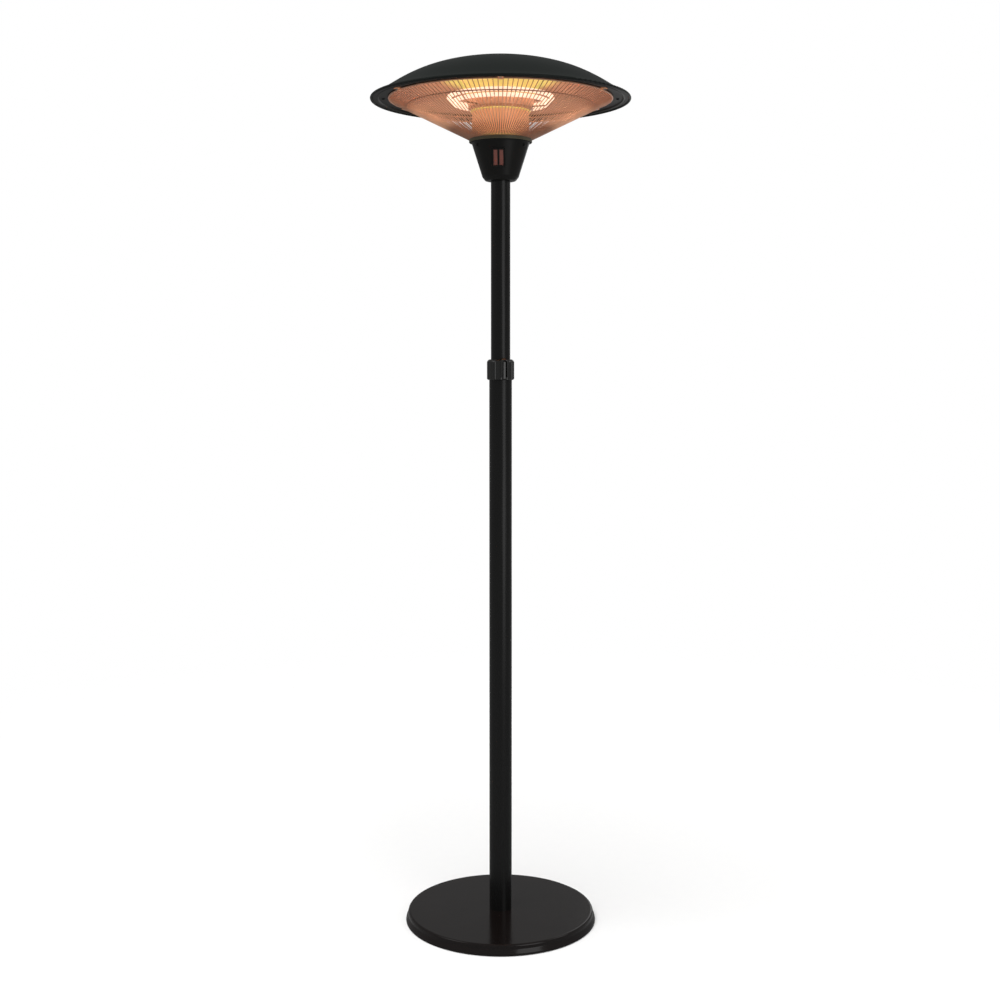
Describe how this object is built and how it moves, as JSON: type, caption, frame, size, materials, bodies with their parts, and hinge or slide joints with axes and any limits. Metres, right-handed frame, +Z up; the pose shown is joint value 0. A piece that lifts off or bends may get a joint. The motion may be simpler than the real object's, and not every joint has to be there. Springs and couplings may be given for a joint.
{
  "type": "infrared patio heater",
  "caption": "Free-standing electric patio heater: weighted round base, telescopic pole with a twist lock, domed hood over ring lamps, copper reflector and wire guard.",
  "frame": {"origin": "centre of the base on the floor, under the mast", "axes": "+Z up along the mast, the switches face -Y, +X to the right as seen from the switches' side"},
  "size_m": [0.6, 0.6, 2.0215],
  "materials": {
    "base_enamel": "gloss brown-black enamel",
    "pole_enamel": "gloss black enamel",
    "hood_coat": "satin black powder coat",
    "rim_coat": "semi-gloss black",
    "housing_coat": "semi-gloss black",
    "black_sheet": "matt black",
    "black_screw": "black oxide",
    "cast_iron": "as cast",
    "zinc_steel": "zinc plated",
    "rubber": "matt",
    "silicone": "matt",
    "nylon": "moulded",
    "grip_plastic": "fine moulded texture",
    "switch_plastic": "moulded",
    "rocker_red": "lit translucent red",
    "wire_sleeve": "glass-fibre sleeve",
    "ceramic": "unglazed",
    "brass": "plain",
    "copper_sheet": "copper-coloured anodised, polished",
    "guard_wire": "bronze-tinted plating",
    "support_wire": "heat-tinted steel",
    "quartz_glass": "clear quartz, lit",
    "filament": "glowing element"
  },
  "bodies": {
    "stand": {"base_cover": "base_enamel", "ballast_disc": "cast_iron", "bottom_plate": "black_sheet", "bottom_plate_screws": "zinc_steel", "rubber_feet": "rubber", "pole_spigot": "cast_iron", "spigot_bolts": "zinc_steel", "pole_screw": "zinc_steel", "lower_pole": "pole_enamel", "collet": "nylon"},
    "lock_collar": {"lock_collar": "grip_plastic"},
    "glide": {"glide_ring": "nylon"},
    "mast": {"end_plug": "nylon", "upper_pole": "pole_enamel", "housing": "housing_coat", "set_screws": "black_screw", "housing_gasket": "silicone", "housing_screws": "black_screw", "mounting_plate": "zinc_steel", "tie_rods": "zinc_steel", "tie_rod_nuts": "zinc_steel", "left_switch_body": "switch_plastic", "right_switch_body": "switch_plastic", "terminal_block": "ceramic", "terminal_screws": "brass", "tip_over_switch": "switch_plastic", "thermal_cutout": "ceramic", "inner_wires": "wire_sleeve", "cord_gland": "switch_plastic", "gland_nut": "switch_plastic", "drum": "copper_sheet", "neck": "copper_sheet", "reflector": "copper_sheet", "hood_bracket": "zinc_steel", "hood": "hood_coat", "rim_ring": "rim_coat", "rim_screws": "black_screw", "hood_spacers": "black_sheet", "wire_guard": "guard_wire", "guard_clips": "rim_coat", "guard_clip_screws": "black_screw", "outer_lamp": "quartz_glass", "outer_filament": "filament", "inner_lamp": "quartz_glass", "inner_filament": "filament", "lamp_holders": "ceramic", "lamp_supports": "support_wire"},
    "left_rocker": {"left_rocker": "rocker_red"},
    "right_rocker": {"right_rocker": "rocker_red"}
  },
  "joints": [
    {"name": "mast_slide", "type": "slide", "parent": "stand", "child": "glide", "axis": [0, 0, 1], "range_m": [-0.38, 0.075]},
    {"name": "mast_swivel", "type": "hinge", "parent": "glide", "child": "mast", "pos_m": [0, 0, 1.04], "axis": [0, 0, 1], "range_deg": [-170, 170]},
    {"name": "collar_twist", "type": "hinge", "parent": "stand", "child": "lock_collar", "pos_m": [0, 0, 1.306], "axis": [0, 0, 1], "range_deg": [0, 120]},
    {"name": "left_switch", "type": "hinge", "parent": "mast", "child": "left_rocker", "pos_m": [-0.01116, -0.0513, 1.78867], "axis": [0.9962, -0.0872, 0], "range_deg": [0, 24]},
    {"name": "right_switch", "type": "hinge", "parent": "mast", "child": "right_rocker", "pos_m": [0.00209, -0.05246, 1.78867], "axis": [0.9962, -0.0872, 0], "range_deg": [0, 24]}
  ]
}
